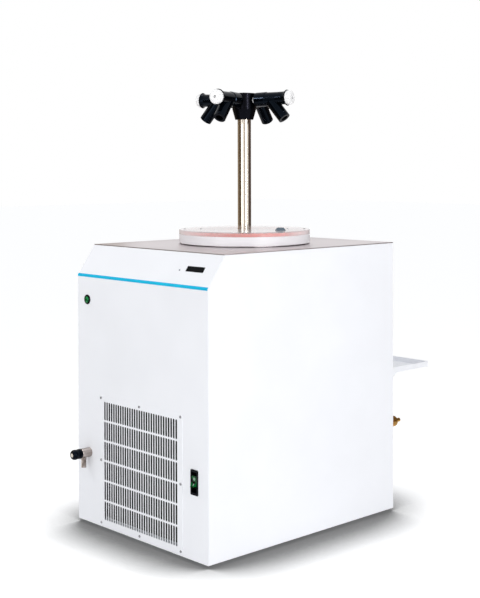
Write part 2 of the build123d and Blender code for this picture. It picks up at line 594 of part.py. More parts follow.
def valve_body(i):
    """Rubber valve: sleeve, flared mouth for the knob, and a slanted flask branch."""
    slant = radians(BRANCH_ANGLE)
    down = (cos(slant), 0, -sin(slant))
    start = (BRANCH_AT, 0, 0)
    neck = KNOB_NECK_R + GAP
    along = [(SLEEVE_AT, NOZZLE_R + FIT), (SLEEVE_AT, SLEEVE_R - 1), (SLEEVE_AT + 1, SLEEVE_R), (68, SLEEVE_R),
             (69.5, 17.4), (100, 16.6), (118, 16.6), (123, 17.3), (126, 18.6), (MOUTH_AT, MOUTH_R),
             (MOUTH_AT + 0.6, MOUTH_R - 0.3), (MOUTH_AT + 0.4, 19.2), (MOUTH_AT - 1.4, 17.9), (125, 16.4),
             (120, neck), (NECK_AT, neck), (NECK_AT, VALVE_BORE_R), (CAVITY_AT, VALVE_BORE_R),
             (CAVITY_AT, NOZZLE_R - 1), (NOZZLE_TO, NOZZLE_R - 1), (NOZZLE_TO, NOZZLE_R + FIT)]
    body = Rot(0, 90, 0) * turned([(r, u) for u, r in along])
    hollow = [(NOZZLE_TO, 0), (NOZZLE_TO, NOZZLE_R), (CAVITY_AT, NOZZLE_R), (CAVITY_AT, VALVE_BORE_R),
              (NECK_AT, VALVE_BORE_R), (NECK_AT, neck), (120, neck), (120, 0)]
    core = Rot(0, 90, 0) * turned([(r, u) for u, r in hollow])
    branch = rod(BRANCH_R, start, down, BRANCH_L) - core
    throat = rod(PORT_THROAT_R, start, down, PORT_STEP + 1)
    port = rod(BRANCH_BORE_R, Vector(start) + Vector(down) * PORT_STEP, down, BRANCH_L)
    return arm_location(i) * (body + branch - throat - port)


def valve_knob(i):
    """White knob whose hollow stem turns in the valve and uncovers the branch through a window."""
    stem_r = VALVE_BORE_R - GAP
    points = [(64, 0), (64, stem_r), (NECK_AT + 0.6, stem_r), (NECK_AT + 2, KNOB_NECK_R), (129.2, KNOB_NECK_R),
              (129.2, KNOB_R - 0.8), (130, KNOB_R), (137, KNOB_R), (140.6, KNOB_R - 2.2), (142.5, KNOB_R - 6),
              (143, 4.4), (134, 4.4), (134, 0)]
    knob = Rot(0, 90, 0) * turned([(r, u) for u, r in points])
    knob -= rod(stem_r - 3, (63, 0, 0), (1, 0, 0), 34)
    slant = radians(BRANCH_ANGLE)
    window = rod(PORT_THROAT_R, (BRANCH_AT, 0, 0), (cos(slant), 0, -sin(slant)), 30)
    return arm_location(i) * (knob - window)


# ---- back ----
def rear_shelf():
    """Folded sheet tray with a screwed back flange and a gusset at each end."""
    z0, z1 = (SHELL_Z + z for z in SHELF_Z)
    x, reach = SHELF_X, BACK + SHELF_D
    shelf = block(-x, x, BACK, reach, z0, z0 + SHEET)
    shelf += block(-x, x, reach - SHEET, reach, z0, z1)
    shelf += block(-x, x, BACK, BACK + SHEET, z0 - GUSSET_H, z0)
    side = [(BACK, z0 - GUSSET_H), (BACK + 2, z0 - GUSSET_H), (BACK + GUSSET_D, z0), (reach, z0), (reach, z1),
            (BACK, z1)]
    for x0 in (-x, x - SHEET):
        shelf += side_profile(side, x0, x0 + SHEET)
    for sx in SHELF_SCREW_X:
        shelf -= rod(SCREW_HOLE_R, (sx, BACK - 1, SHELF_SCREW_Z), (0, 1, 0), 5)
    return shelf


def vacuum_nozzle():
    """Brass hose connector: threaded shank, hexagon, round collar and plain spigot."""
    x, z, back = PORT_X, SHELL_Z + PORT_Z, (0, 1, 0)
    body = hexagon(2 * PORT_COLLAR_R - 2, (x, BACK, z), back, PORT_HEX_L)
    body += rod(PORT_COLLAR_R, (x, BACK + PORT_HEX_L, z), back, PORT_COLLAR_L - PORT_HEX_L)
    body += rod(PORT_SHANK_R, (x, BACK - PORT_SHANK_L, z), back, PORT_SHANK_L)
    spigot = rod(PORT_SPIGOT_R, (x, BACK + PORT_COLLAR_L, z), back, PORT_END - PORT_COLLAR_L)
    body += chamfer(spigot.edges().filter_by(GeomType.CIRCLE).group_by(Axis.Y)[-1], 1)
    return body - rod(PORT_BORE_R, (x, BACK - PORT_SHANK_L - 1, z), back, PORT_END + PORT_SHANK_L + 2)


def power_inlet():
    """Mains inlet socket with its flange outside and three blades in the well."""
    at = Plane(origin=(INLET_X, BACK, SHELL_Z + INLET_Z), x_dir=(-1, 0, 0), z_dir=(0, 1, 0)).location
    flange = extrude(RectangleRounded(50, 23.5, 4), amount=INLET_FLANGE)
    body = Pos(0, 0, -13) * Box(27.5, 20.5, 26)
    well = Pos(0, 0, -6) * Box(24, 16, 20)
    socket = flange + body - well
    for sx in (-INLET_SCREW_X, INLET_SCREW_X):
        socket -= Pos(sx, 0, 0) * Cylinder(SCREW_HOLE_R, 20)
    for sx, sy in ((-7, -2), (7, -2), (0, 3)):
        socket += Pos(sx, sy, -9) * Box(2, 4, 14)
    return at * socket


# ---- machinery ----
def compressor():
    """Hermetic can on its foot plate, with suction and discharge stubs and a terminal cover."""
    z0 = SHELL_Z + SHEET + GROMMET_H
    z1, r, edge = z0 + COMP_H, COMP_R, 26
    can = turned([(0, z0 + 3), (r - 12, z0 + 3), (r, z0 + 18), (r, z1 - edge), (r - 14, z1 - 8),
                  (r - 40, z1), (0, z1)], (COMP_X, COMP_Y, 0))
    plate = Pos(COMP_X, COMP_Y, z0 + 1.5) * Box(2 * COMP_FOOT_X + 30, 2 * COMP_FOOT_Y + 30, 3)
    body = can + plate
    body += rod(7, (SUCTION_X, COMP_Y, z1 - 20), (0, 0, 1), 28)
    body += rod(6, (COMP_X, COMP_Y - r + 10, DISCHARGE_Z), (0, -1, 0), 18)
    return body + Pos(COMP_X + r, COMP_Y, z0 + 80) * Box(24, 44, 60)


def compressor_mounts():
    """Rubber grommets between the foot plate and the tray."""
    z = SHELL_Z + SHEET
    profile = [(0, 0), (13, 0), (13, 4), (10, 6), (13, 8), (13, GROMMET_H), (0, GROMMET_H)]
    return group(turned(profile, (COMP_X + sx * COMP_FOOT_X, COMP_Y + sy * COMP_FOOT_Y, z))
                 for sx in (-1, 1) for sy in (-1, 1))


def fin_coil():
    """Air-cooled coil behind the grille: upright fins on rows of tube between two end plates."""
    z0, z1 = SHELL_Z + FIN_Z[0], SHELL_Z + FIN_Z[1]
    half = FIN_COUNT * FIN_PITCH / 2
    coil = None
    for i in range(FIN_COUNT + 1):
        x = -half + i * FIN_PITCH
        thick = 1.5 if i in (0, FIN_COUNT) else 0.6
        fin = Pos(x, (FIN_Y[0] + FIN_Y[1]) / 2, (z0 + z1) / 2) * Box(thick, FIN_Y[1] - FIN_Y[0], z1 - z0)
        coil = fin if coil is None else coil + fin
    for row in range(TUBE_ROWS):
        z = z0 + (row + 0.5) * (z1 - z0) / TUBE_ROWS
        for y in (FIN_Y[0] + 13, FIN_Y[1] - 13):
            coil += rod(5, (-half, y, z), (1, 0, 0), 2 * half)
    return coil


def fan_shroud():
    half = FIN_COUNT * FIN_PITCH / 2
    shroud = block(-half, half, FIN_Y[1], FAN_BACK, SHELL_Z + FIN_Z[0], SHELL_Z + FIN_Z[1])
    shroud -= block(-half + 2, half - 2, FIN_Y[1] - 1, FAN_BACK - 2, SHELL_Z + FIN_Z[0] + 2,
                    SHELL_Z + FIN_Z[1] - 2)
    return shroud - rod(FAN_R + 4, (0, FAN_BACK - 5, SHELL_Z + FAN_Z), (0, 1, 0), 10)


def fan_motor():
    """Motor can with four flat arms that reach the shroud, and a shaft forwards."""
    at = Plane(origin=(0, FAN_BACK, SHELL_Z + FAN_Z), x_dir=(1, 0, 0), z_dir=(0, 1, 0)).location
    motor = turned([(0, 0), (30, 0), (34, 4), (34, 52), (28, 58), (0, 58)])
    for turn in (45, 135):
        motor += Rot(0, 0, turn) * Pos(0, 0, 1.5) * Box(2 * FAN_R + 28, 16, 3)
    return at * (motor + Pos(0, 0, -15) * Cylinder(3, 30))


def fan_rotor():
    """Five pitched blades on a hub that turns on the motor's shaft."""
    at = Plane(origin=(0, FAN_BACK - 16, SHELL_Z + FAN_Z), x_dir=(1, 0, 0), z_dir=(0, 1, 0)).location
    rotor = turned([(3.05, -13), (26, -13), (28, -10), (28, 12), (3.05, 12)])
    for i in range(FAN_BLADES):
        blade = Rot(0, 0, i * 360 / FAN_BLADES) * Pos(25 + (FAN_R - 25) / 2, 0, 0) * Rot(32, 0, 0)
        rotor += blade * Box(FAN_R - 25, 40, 1.8)
    rotor -= Cylinder(3.05, 60)
    return at * rotor


def filter_drier():
    z = DRIER_Z
    return turned([(0, z), (LINE_R + 1, z), (13, z + 14), (13, z + 76), (LINE_R + 1, z + 90), (0, z + 90)],
                  (DRIER_X, DRIER_Y, 0))


def discharge_line():
    """Hot gas pipe from the compressor to the top of the fin coil."""
    x, z = -FIN_COUNT * FIN_PITCH / 2, SHELL_Z + FIN_Z[1] - 20
    y = COMP_Y - COMP_R - 8
    points = [(COMP_X, y, DISCHARGE_Z), (COMP_X, y - 40, DISCHARGE_Z), (COMP_X, y - 40, z),
              (x - 22, y - 40, z), (x - 22, COIL_PIPE_Y, z), (x - 0.75, COIL_PIPE_Y, z)]
    return pipe(points, LINE_BEND, LINE_R, LINE_R - 1)


def liquid_line():
    """Liquid pipe from the foot of the fin coil to the drier."""
    x, z = FIN_COUNT * FIN_PITCH / 2, SHELL_Z + FIN_Z[0] + 24
    points = [(x + 0.75, COIL_PIPE_Y, z), (DRIER_X, COIL_PIPE_Y, z), (DRIER_X, DRIER_Y, z),
              (DRIER_X, DRIER_Y, DRIER_Z)]
    return pipe(points, LINE_BEND, LINE_R, LINE_R - 1)


def expansion_line():
    """Thin pipe from the drier to the foot of the chamber's coil."""
    z0, mid, y = DRIER_Z + 90, 330.0, 240.0
    points = [(DRIER_X, DRIER_Y, z0), (DRIER_X, DRIER_Y, mid), (DRIER_X, y, mid), (COIL_PORT_X, y, mid),
              (COIL_PORT_X, y, COIL_IN_Z), (COIL_PORT_X, COIL_TAIL_Y, COIL_IN_Z)]
    return pipe(points, LINE_BEND, LINE_R - 1, LINE_R - 2)


def suction_line():
    """Return pipe from the top of the chamber's coil to the compressor."""
    top = SHELL_Z + SHEET + GROMMET_H + COMP_H + 8
    y, z = 262.0, top + 24
    points = [(COIL_PORT_X, COIL_TAIL_Y, COIL_OUT_Z), (COIL_PORT_X, y, COIL_OUT_Z), (SUCTION_X, y, COIL_OUT_Z),
              (SUCTION_X, y, z), (SUCTION_X, COMP_Y, z), (SUCTION_X, COMP_Y, top)]
    return pipe(points, LINE_BEND, LINE_R + 1, LINE_R)


def drain_hose():
    """Silicone hose from the chamber's drain stub to the valve on the front."""
    start = CHAMBER_FLOOR - STUB_L
    z = SHELL_Z + DRAIN_Z
    points = [(0, AXIS_Y, start), (0, AXIS_Y, start - 36), (DRAIN_X, AXIS_Y, start - 46),
              (DRAIN_X, FRONT + 170, start - 70), (DRAIN_X, FRONT + 95, z), (DRAIN_X, FRONT + 34, z)]
    return pipe(points, 28, 8, 5)


def vacuum_line():
    """Steel pipe from the chamber's side to the connector on the back."""
    z = SHELL_Z + PORT_Z
    reach = PORT_X / cos(radians(VACUUM_ANGLE))
    corner = polar(reach, VACUUM_ANGLE, VACUUM_Z)
    points = [polar(CHAMBER_R - 5, VACUUM_ANGLE, VACUUM_Z), corner, (PORT_X, corner[1], z),
              (PORT_X, BACK - 20, z)]
    return pipe(points, 32, VACUUM_R, VACUUM_R - 1.5)


NODES = {
    "base_tray": base_tray, "feet": feet, "front_panel": front_panel,
    "left_side_panel": lambda: side_panel(-1), "right_side_panel": lambda: side_panel(1),
    "rear_panel": rear_panel, "top_plate": top_plate, "rear_screws": rear_screws,
    "trim_stripe": trim_stripe, "intake_grille": grille, "grille_screws": grille_screws,
    "display_window": display_window, "status_led": status_led, "controller_box": controller_box,
    "button_bezel": push_button_bezel, "button_cap": push_button_cap,
    "switch_frame": switch_frame, "power_rocker": power_rocker,
    "drain_valve_body": drain_body, "drain_valve_nut": drain_nut, "drain_spindle": drain_spindle,
    "drain_knob": drain_knob,
    "condenser_chamber": chamber, "rim_gasket": rim_gasket, "insulation_jacket": insulation,
    "evaporator_coil": evaporator_coil,
    "lid_collar": lid_collar, "lid_plate": lid_plate, "lid_seal": lid_seal, "lid_screws": lid_screws,
    "vent_plug": vent_plug,
    "manifold_tube": manifold_tube, "tube_nut": tube_nut,
    "manifold_hub": manifold_hub, "hub_nozzles": hub_nozzles,
    "rear_shelf": rear_shelf, "vacuum_nozzle": vacuum_nozzle, "power_inlet": power_inlet,
    "compressor": compressor, "compressor_mounts": compressor_mounts, "fin_coil": fin_coil,
    "fan_shroud": fan_shroud, "fan_motor": fan_motor, "fan_rotor": fan_rotor,
    "filter_drier": filter_drier, "discharge_line": discharge_line, "liquid_line": liquid_line,
    "expansion_line": expansion_line, "suction_line": suction_line, "drain_hose": drain_hose,
    "vacuum_line": vacuum_line,
}


def valve_maker(make, i):
    return lambda: make(i)


for arm in range(ARM_COUNT):
    NODES[f"valve_body_{arm + 1}"] = valve_maker(valve_body, arm)
    NODES[f"valve_knob_{arm + 1}"] = valve_maker(valve_knob, arm)

os.makedirs("parts", exist_ok=True)
for name, make in NODES.items():
    export_step(Pos(0, Y_SHIFT, 0) * make(), f"parts/{name}.step")
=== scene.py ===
import bmesh
import bpy
import json
from math import atan2, cos, pi, radians, sin
from mathutils import Euler, Matrix, Vector


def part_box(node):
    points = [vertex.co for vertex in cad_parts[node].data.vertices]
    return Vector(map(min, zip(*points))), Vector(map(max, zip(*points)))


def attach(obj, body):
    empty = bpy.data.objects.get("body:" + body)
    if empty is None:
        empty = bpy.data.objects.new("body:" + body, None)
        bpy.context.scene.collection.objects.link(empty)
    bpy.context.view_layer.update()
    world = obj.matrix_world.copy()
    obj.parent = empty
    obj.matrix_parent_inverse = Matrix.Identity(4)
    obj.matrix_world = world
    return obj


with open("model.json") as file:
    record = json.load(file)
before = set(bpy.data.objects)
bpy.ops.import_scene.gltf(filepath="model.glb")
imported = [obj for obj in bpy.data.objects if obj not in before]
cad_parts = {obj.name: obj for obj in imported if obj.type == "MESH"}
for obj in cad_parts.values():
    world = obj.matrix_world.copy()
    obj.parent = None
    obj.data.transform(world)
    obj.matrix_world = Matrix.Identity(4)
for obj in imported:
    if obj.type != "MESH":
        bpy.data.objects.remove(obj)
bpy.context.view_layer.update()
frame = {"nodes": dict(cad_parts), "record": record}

NODES = frame["nodes"]
MM = 0.001


def middle(node):
    low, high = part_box(node)
    return (low + high) / 2


TUBE_AXIS = Vector((*middle("manifold_tube").xy, 0))

# Sockets that share a name with others are given by number.
VALUE, FROM_LOW, FROM_HIGH, TO_LOW, TO_HIGH = range(5)          # Map Range
SHARE, NUMBER_A, NUMBER_B, COLOUR_A, COLOUR_B = 0, 2, 3, 6, 7   # Mix
NUMBER_OUT, COLOUR_OUT = 0, 2                                   # Mix
WHITE, BLACK = (1, 1, 1, 1), (0, 0, 0, 1)


def hex_colour(code):
    """Linear colour of an sRGB hex value."""
    parts = [int(code[i:i + 2], 16) / 255 for i in (1, 3, 5)]
    linear = [p / 12.92 if p <= 0.04045 else ((p + 0.055) / 1.055) ** 2.4 for p in parts]
    return (*linear, 1.0)


def add_node(tree, kind, inputs=None, **settings):
    """Adds a node, sets its properties, and sets or links its inputs."""
    made = tree.nodes.new(kind)
    for name, value in settings.items():
        setattr(made, name, value)
    for name, value in (inputs or {}).items():
        socket = made.inputs[name]
        if isinstance(value, bpy.types.NodeSocket):
            tree.links.new(value, socket)
        else:
            socket.default_value = value
    return made


def new_material(name):
    material = bpy.data.materials.new(name)
    material.use_nodes = True
    material.node_tree.nodes.clear()
    return material


# ---- materials ----

PATTERN_SPAN = {FROM_LOW: 0.3, FROM_HIGH: 0.7}     # where most of a pattern's values lie
CLOUD_DETAIL = 2.0
RELIEF_STRENGTH = 0.5


def finish(name, tones, gloss, size_mm, stretch=(1, 1, 1), detail=3.0, relief_mm=0.0,
           clouds_mm=None, cells=False, veil=None, **shader):
    """Surface whose gloss and relief follow a fine pattern of this size, and whose colour runs
    between two tones with the same pattern, or with broader clouds. A small stretch draws the
    pattern out. A veil is how much a see-through surface hides, seen square on and edge on."""
    material = new_material(name)
    tree = material.node_tree
    coords = add_node(tree, "ShaderNodeTexCoord").outputs["Object"]
    place = add_node(tree, "ShaderNodeMapping", {"Vector": coords, "Scale": stretch})
    source = {"Vector": place.outputs[0], "Scale": 1000 / size_mm}
    if cells:
        pattern = add_node(tree, "ShaderNodeTexVoronoi", source).outputs["Color"]
    else:
        pattern = add_node(tree, "ShaderNodeTexNoise", {**source, "Detail": detail}).outputs[0]
    tone = pattern
    if clouds_mm:
        broad = {"Vector": coords, "Scale": 1000 / clouds_mm, "Detail": CLOUD_DETAIL}
        tone = add_node(tree, "ShaderNodeTexNoise", broad).outputs[0]
    share = add_node(tree, "ShaderNodeMapRange",
                     {VALUE: tone, **PATTERN_SPAN, TO_LOW: 0.0, TO_HIGH: 1.0})
    colour = add_node(tree, "ShaderNodeMix",
                      {SHARE: share.outputs[0], COLOUR_A: hex_colour(tones[0]),
                       COLOUR_B: hex_colour(tones[1])}, data_type="RGBA")
    rough = add_node(tree, "ShaderNodeMapRange",
                     {VALUE: pattern, **PATTERN_SPAN, TO_LOW: gloss[0], TO_HIGH: gloss[1]})
    inputs = {key.replace("_", " "): value for key, value in shader.items()}
    inputs.update({"Base Color": colour.outputs[COLOUR_OUT], "Roughness": rough.outputs[0]})
    if relief_mm:
        bump = add_node(tree, "ShaderNodeBump", {"Strength": RELIEF_STRENGTH,
                                                 "Distance": relief_mm * MM, "Height": pattern})
        inputs["Normal"] = bump.outputs[0]
    if veil:
        facing = add_node(tree, "ShaderNodeLayerWeight", {"Blend": 0.5}).outputs["Facing"]
        hidden = add_node(tree, "ShaderNodeMapRange",
                          {VALUE: facing, FROM_LOW: 0.0, FROM_HIGH: 1.0,
                           TO_LOW: veil[0], TO_HIGH: veil[1]})
        inputs["Alpha"] = hidden.outputs[0]
    surface = add_node(tree, "ShaderNodeBsdfPrincipled", inputs)
    add_node(tree, "ShaderNodeOutputMaterial", {"Surface": surface.outputs[0]})
    return material


MATERIALS = {
    # Baked powder coat on steel sheet: satin white, a fine orange peel that softens highlights.
    "white_enamel": finish("white_powder_coat", ("#EFF0F4", "#F3F4F8"), (0.36, 0.46), 2.2,
                           detail=2.0, relief_mm=0.02, clouds_mm=180, IOR=1.5,
                           Specular_IOR_Level=0.35),
    # Stainless sheet brushed from front to back: warm grey, fine streaks that stretch highlights.
    "stainless_steel": finish("brushed_stainless", ("#BEB7B9", "#CEC7C9"), (0.28, 0.42), 1.4,
                              stretch=(1.0, 0.02, 1.0), detail=4.0, relief_mm=0.006, Metallic=1.0,
                              Anisotropic=0.5),
    # Hot-dipped sheet: dull grey with flat crystal flakes of slightly different tone.
    "galvanised_sheet": finish("galvanised_sheet", ("#9DA2A6", "#BFC4C8"), (0.38, 0.55), 11,
                               cells=True, Metallic=1.0),
    # Cast vinyl film: bright cyan with a clean gloss.
    "cyan_vinyl": finish("cyan_vinyl_film", ("#06B2DC", "#0CBBE2"), (0.3, 0.36), 25, detail=1.0,
                         relief_mm=0.01, IOR=1.5, Specular_IOR_Level=0.15),
    # Spark-textured ABS moulding: deep black, fine matt grain under a weak sheen.
    "black_plastic": finish("black_abs", ("#020304", "#040508"), (0.2, 0.26), 0.8, detail=2.0,
                            relief_mm=0.004, IOR=1.5, Specular_IOR_Level=0.1,
                            Specular_Tint=hex_colour("#DCDCFF")),
    # Tinted acrylic over the display: black glass look.
    "dark_window": finish("tinted_acrylic", ("#010305", "#020508"), (0.05, 0.09), 9, detail=1.0,
                          IOR=1.49, Specular_IOR_Level=0.05),
    # Moulded EPDM: near black with a blue cast and a soft sheen.
    "black_rubber": finish("black_epdm_rubber", ("#010204", "#03060B"), (0.11, 0.15), 1.6,
                           relief_mm=0.006, clouds_mm=35, IOR=1.5, Specular_IOR_Level=0.12,
                           Specular_Tint=hex_colour("#B8D6FF")),
    # Moulded polypropylene: bright white, slightly translucent, semi-gloss.
    "white_plastic": finish("white_polypropylene", ("#F2F1F1", "#F6F6F6"), (0.26, 0.34), 14,
                            detail=2.0, IOR=1.49, Subsurface_Weight=0.15,
                            Subsurface_Radius=(0.004, 0.004, 0.004)),
    # Tinted polycarbonate lens: deep green with fine prisms moulded behind its face.
    "green_lens": finish("green_polycarbonate", ("#06351A", "#1C8C48"), (0.1, 0.22), 3.2,
                         cells=True, relief_mm=0.1, IOR=1.58, Specular_IOR_Level=0.2),
    # Cast acrylic disc: glossy, nearly clear from above, and a white haze at a low angle.
    "clear_acrylic": finish("clear_cast_acrylic", ("#F4EEEF", "#FAF5F6"), (0.06, 0.1), 60,
                            detail=2.0, veil=(0.1, 0.9), IOR=1.49, Specular_IOR_Level=0.3),
    # Turned polyethylene ring: milky white, light soaks into it, fine turning lines round it.
    "milky_plastic": finish("milky_polyethylene", ("#F1EFF2", "#F6F4F7"), (0.32, 0.42), 1.8,
                            stretch=(0.04, 0.04, 1.0), detail=2.0, relief_mm=0.01, IOR=1.51,
                            Subsurface_Weight=0.35, Subsurface_Radius=(0.008, 0.008, 0.008)),
    # Extruded silicone cord: pale salmon, soft satin.
    "red_silicone": finish("red_silicone", ("#F0877C", "#F8B3AC"), (0.45, 0.55), 90, detail=1.0,
                           IOR=1.43, Specular_IOR_Level=0.2, Subsurface_Weight=0.3,
                           Subsurface_Radius=(0.006, 0.002, 0.002)),
    # Moulded nitrile plug: matt blue grey with a dusty bloom.
    "grey_rubber": finish("grey_nitrile_rubber", ("#566470", "#6B7985"), (0.5, 0.7), 3.0,
                          detail=4.0, relief_mm=0.03, IOR=1.5, Specular_IOR_Level=0.3),
    # Turned brass: warm yellow with fine lathe lines round the fitting.
    "brass": finish("turned_brass", ("#B98B3E", "#DDB164"), (0.18, 0.3), 0.9,
                    stretch=(1.0, 6.0, 1.0), detail=2.0, relief_mm=0.006, Metallic=1.0),
    # Drawn copper tube: warm orange brown with patches of darker oxide.
    "copper": finish("drawn_copper", ("#8A4F35", "#D98C66"), (0.22, 0.42), 16, detail=5.0,
                     Metallic=1.0),
    # Mill-finish fin foil behind the grille: near black, the shade between the fins painted into
    # its colour.
    "aluminium_fins": finish("aluminium_fins_painted_shade", ("#0B0B0B", "#1B1B1A"), (0.5, 0.7), 22,
                             detail=2.0, Metallic=0.1, Specular_IOR_Level=0.1),
    # Stove enamel on pressed steel: gloss black, slight orange peel.
    "black_enamel": finish("black_stove_enamel", ("#0C0C0E", "#17171A"), (0.2, 0.3), 3.0,
                           detail=2.0, relief_mm=0.03, IOR=1.5),
    # Closed-cell foam jacket: matt dark grey, pebbled skin.
    "grey_foam": finish("grey_foam_skin", ("#3A3B3D", "#56585B"), (0.75, 0.95), 4.0, detail=4.0,
                        relief_mm=0.3, IOR=1.4, Specular_IOR_Level=0.2),
    # Extruded silicone hose: milky, slightly see-through, soft gloss.
    "clear_hose": finish("clear_silicone_hose", ("#D8D8D2", "#E6E6E0"), (0.25, 0.4), 12,
                         detail=2.0, IOR=1.41, Transmission_Weight=0.35),
    # Nickel-plated steel: grey metal, slightly uneven plating.
    "plated_screws": finish("nickel_plated_steel", ("#8F8F92", "#B0B0B3"), (0.25, 0.4), 1.2,
                            Metallic=1.0),
    # Moulded lens of an unlit indicator: smoky grey.
    "red_lamp": finish("smoky_lens", ("#5B6067", "#868C94"), (0.15, 0.25), 1.5, detail=2.0,
                       IOR=1.5),
}
# Ground and polished stainless tube: near-mirror, faint lines round its axis.
POLISHED = finish("polished_stainless", ("#D2C9BD", "#DAD2C7"), (0.13, 0.16), 6.0,
                  stretch=(0.05, 0.05, 1.0), Metallic=1.0)
# Turned stainless fittings: darker, with light and dark bands along the bar painted into the colour
# as reflections.
TURNED_PAINTED_BANDS = finish("turned_stainless_painted_bands", ("#7D736D", "#CFC5BF"), (0.14, 0.2), 5.0,
                stretch=(1.0, 0.1, 0.3), detail=1.0, Metallic=1.0)
# Tinted rocker over an unlit lamp: nearly black, with a few green patches painted into its colour
# as glints from its prisms.
GLINT_PAINTED_LENS = finish("unlit_green_lens_painted_glints", ("#010302", "#0A6A32"), (0.08, 0.2), 5.0, cells=True,
                    relief_mm=0.1, IOR=1.58, Specular_IOR_Level=0.15)
# Pad-printed marks: flat pale ink.
INK = finish("pale_ink", ("#B7D6C2", "#CFE8D8"), (0.5, 0.6), 2.0, IOR=1.5)
SPECIAL = {"manifold_tube": POLISHED, "vacuum_line": POLISHED, "drain_valve_body": TURNED_PAINTED_BANDS,
           "drain_valve_nut": TURNED_PAINTED_BANDS, "drain_spindle": POLISHED, "power_rocker": GLINT_PAINTED_LENS}


def dress_nodes():
    """Gives every CAD node the finish of its material slot, or its own."""
    for part in frame["record"]["subparts"]:
        node = NODES[part["node"]]
        node.data.materials.clear()
        node.data.materials.append(SPECIAL.get(part["node"], MATERIALS[part["material_slot"]]))


# ---- pieces ----

def piece(name, mesh, body):
    """Object at the origin that moves with a body."""
    made = bpy.data.objects.new(name, mesh)
    bpy.context.scene.collection.objects.link(made)
    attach(made, body)
    return made


# The knurl, in mm: collar and ridge radius, ridge length, and its middle from the spigot's tip.
KNURL_R, RIDGE_R, KNURL_L, KNURL_BACK = 13.2, 0.75, 13.0, 30.5
RIDGES, RIDGE_SIDES = 48, 6


def nozzle_knurling():
    """Straight knurl round the collar of the vacuum nozzle, which gives fingers a grip."""
    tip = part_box("vacuum_nozzle")[1].y
    at = middle("vacuum_nozzle")
    tree = bpy.data.node_groups.new("straight_knurl", "GeometryNodeTree")
    tree.interface.new_socket("Geometry", in_out="OUTPUT", socket_type="NodeSocketGeometry")
    sizes = {"Ridges": (RIDGES, "NodeSocketInt"),
             "Collar Radius": (KNURL_R * MM, "NodeSocketFloat"),
             "Ridge Radius": (RIDGE_R * MM, "NodeSocketFloat"),
             "Knurl Length": (KNURL_L * MM, "NodeSocketFloat"),
             "Middle": ((at.x, tip - KNURL_BACK * MM, at.z), "NodeSocketVector")}
    sockets = {name: tree.interface.new_socket(name, in_out="INPUT", socket_type=kind).identifier
               for name, (_, kind) in sizes.items()}
    given = add_node(tree, "NodeGroupInput").outputs
    ring = add_node(tree, "GeometryNodeMeshCircle",
                    {"Vertices": given["Ridges"], "Radius": given["Collar Radius"]})
    ridge = add_node(tree, "GeometryNodeMeshCylinder",
                     {"Vertices": RIDGE_SIDES, "Radius": given["Ridge Radius"],
                      "Depth": given["Knurl Length"]})
    ridges = add_node(tree, "GeometryNodeInstanceOnPoints",
                      {"Points": ring.outputs[0], "Instance": ridge.outputs[0]})
    placed = add_node(tree, "GeometryNodeTransform",
                      {"Geometry": ridges.outputs[0], "Translation": given["Middle"],
                       "Rotation": (pi / 2, 0, 0)})
    solid = add_node(tree, "GeometryNodeRealizeInstances", {"Geometry": placed.outputs[0]})
    done = add_node(tree, "GeometryNodeSetMaterial",
                    {"Geometry": solid.outputs[0], "Material": MATERIALS["brass"]})
    add_node(tree, "NodeGroupOutput", {"Geometry": done.outputs[0]})
    grower = bpy.data.objects.new("knurl_grower", bpy.data.meshes.new("knurl_grower"))
    bpy.context.scene.collection.objects.link(grower)
    modifier = grower.modifiers.new("knurl", "NODES")
    modifier.node_group = tree
    for name, (value, _) in sizes.items():
        modifier[sockets[name]] = value
    grown = grower.evaluated_get(bpy.context.evaluated_depsgraph_get())
    mesh = bpy.data.meshes.new_from_object(grown)
    bpy.data.objects.remove(grower)
    piece("nozzle_knurling", mesh, "cabinet")


ROCKER_TURN = -12.0                  # degrees from mid position, lower end out
ROCKER_FACE, FACE_RISE = 7.0, 3.0    # mm from the pivot to the faces' shared line, and up to an end
ROCKER_HALF = 13.25                  # mm from that line to either end
PIVOT_BEHIND = 8.0                   # mm from the frame's face to the pivot
LINE_W, LINE_L = 1.2, 5.5            # mm
RING_OUTER, RING_INNER = 2.9, 1.9    # mm
RING_STEPS = 24
INK_T = 0.15                         # mm


def rocker_marks():
    """The line and ring of an on and off switch, pad-printed on the rocker's two faces."""
    frame_low, frame_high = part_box("switch_frame")
    centre = (frame_low + frame_high) / 2
    outward = Matrix(((1, 0, 0, 0), (0, 0, -1, 0), (0, 1, 0, 0), (0, 0, 0, 1)))
    pivot_at = (centre.x, frame_low.y + PIVOT_BEHIND * MM, centre.z)
    pivot = Matrix.Translation(pivot_at) @ outward @ Matrix.Scale(MM, 4)
    turn = Matrix.Rotation(radians(ROCKER_TURN), 4, "X")
    height = ROCKER_FACE + FACE_RISE / 2 + INK_T / 2
    shape = bmesh.new()
    for side in (-1, 1):
        slope = Matrix.Rotation(side * atan2(FACE_RISE, ROCKER_HALF), 4, "X")
        shift = Matrix.Translation((0, side * ROCKER_HALF / 2, height))
        place = pivot @ turn @ shift @ slope
        if side < 0:
            line = place @ Matrix.Diagonal((LINE_W, LINE_L, 2 * INK_T, 1))
            bmesh.ops.create_cube(shape, size=1, matrix=line)
            continue
        rings = []
        for radius, z in ((RING_OUTER, -INK_T), (RING_OUTER, INK_T),
                          (RING_INNER, INK_T), (RING_INNER, -INK_T)):
            turns = [2 * pi * i / RING_STEPS for i in range(RING_STEPS)]
            rings.append([shape.verts.new(place @ Vector((radius * cos(t), radius * sin(t), z)))
                          for t in turns])
        for k in range(len(rings)):
            one, other = rings[k], rings[(k + 1) % len(rings)]
            for i in range(RING_STEPS):
                j = (i + 1) % RING_STEPS
                shape.faces.new((one[i], one[j], other[j], other[i]))
    bmesh.ops.recalc_face_normals(shape, faces=shape.faces)
    mesh = bpy.data.meshes.new("rocker_marks")
    shape.to_mesh(mesh)
    shape.free()
    mesh.materials.append(INK)
    piece("rocker_marks", mesh, "power_switch")


# ---- studio ----

